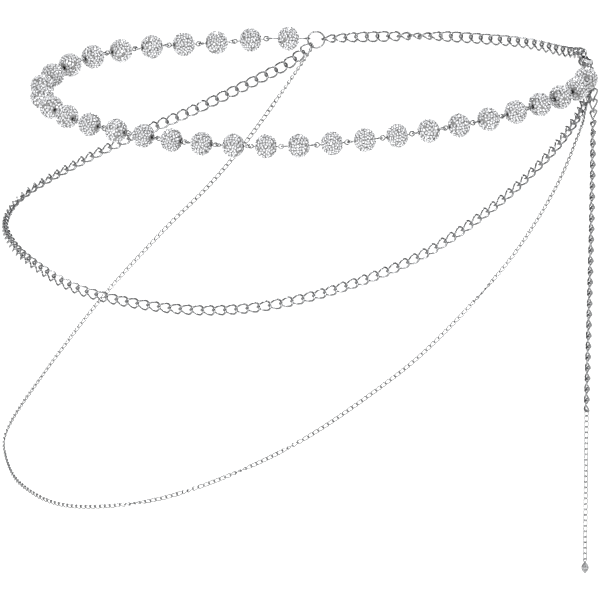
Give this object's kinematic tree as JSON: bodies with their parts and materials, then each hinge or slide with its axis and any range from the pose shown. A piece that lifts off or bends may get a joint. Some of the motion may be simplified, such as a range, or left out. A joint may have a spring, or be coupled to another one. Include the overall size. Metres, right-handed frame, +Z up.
{
  "type": "waist chain",
  "caption": "Silver-tone waist chain with crystal-set ball beads, two curb chains draped over the hips, a lobster clasp and a hanging tail with a small cut drop.",
  "frame": {"origin": "middle of the waist at the height of the bead strand", "axes": "+X to the side with the clasp, +Y to the side with the large ring, +Z up the body"},
  "size_m": [0.2555, 0.1855, 0.2329],
  "materials": {
    "crystal_pave": "clear foil-backed crystal stones set close over a pale grey ball, with dark gaps between them",
    "cut_crystal": "clear cut crystal",
    "chain_links": "polished rhodium plate over brass wire",
    "ring_wire": "polished rhodium plate over brass wire",
    "pin_wire": "polished rhodium plate over steel wire",
    "clasp_metal": "polished rhodium plate over cast zinc alloy"
  },
  "bodies": {
    "chain": {"back_ring": "ring_wire", "clasp_ring": "ring_wire", "clasp_body": "clasp_metal", "eye_pins": "pin_wire", "drape_chain_left": "chain_links", "drape_chain_right": "chain_links", "extender_chain": "chain_links", "tail_chain": "chain_links", "fine_drape_chain": "chain_links", "fine_tail_chain": "chain_links", "drop_pin": "pin_wire", "cut_drop": "cut_crystal", "bead_01": "crystal_pave", "bead_02": "crystal_pave", "bead_03": "crystal_pave", "bead_04": "crystal_pave", "bead_05": "crystal_pave", "bead_06": "crystal_pave", "bead_07": "crystal_pave", "bead_08": "crystal_pave", "bead_09": "crystal_pave", "bead_10": "crystal_pave", "bead_11": "crystal_pave", "bead_12": "crystal_pave", "bead_13": "crystal_pave", "bead_14": "crystal_pave", "bead_15": "crystal_pave", "bead_16": "crystal_pave", "bead_17": "crystal_pave", "bead_18": "crystal_pave", "bead_19": "crystal_pave", "bead_20": "crystal_pave", "bead_21": "crystal_pave", "bead_22": "crystal_pave", "bead_23": "crystal_pave", "bead_24": "crystal_pave", "bead_25": "crystal_pave", "bead_26": "crystal_pave", "bead_27": "crystal_pave", "bead_28": "crystal_pave", "bead_29": "crystal_pave", "bead_30": "crystal_pave", "bead_31": "crystal_pave", "bead_32": "crystal_pave"},
    "lever": {"clasp_lever": "clasp_metal"}
  },
  "joints": [
    {"name": "clasp_lever_hinge", "type": "hinge", "parent": "chain", "child": "lever", "pos_m": [0.1153, 0.00668, 0.0098], "axis": [-0.29, 0.1369, -0.9472], "range_deg": [0, 24], "stiffness_Nm_per_rad": 0.005}
  ]
}
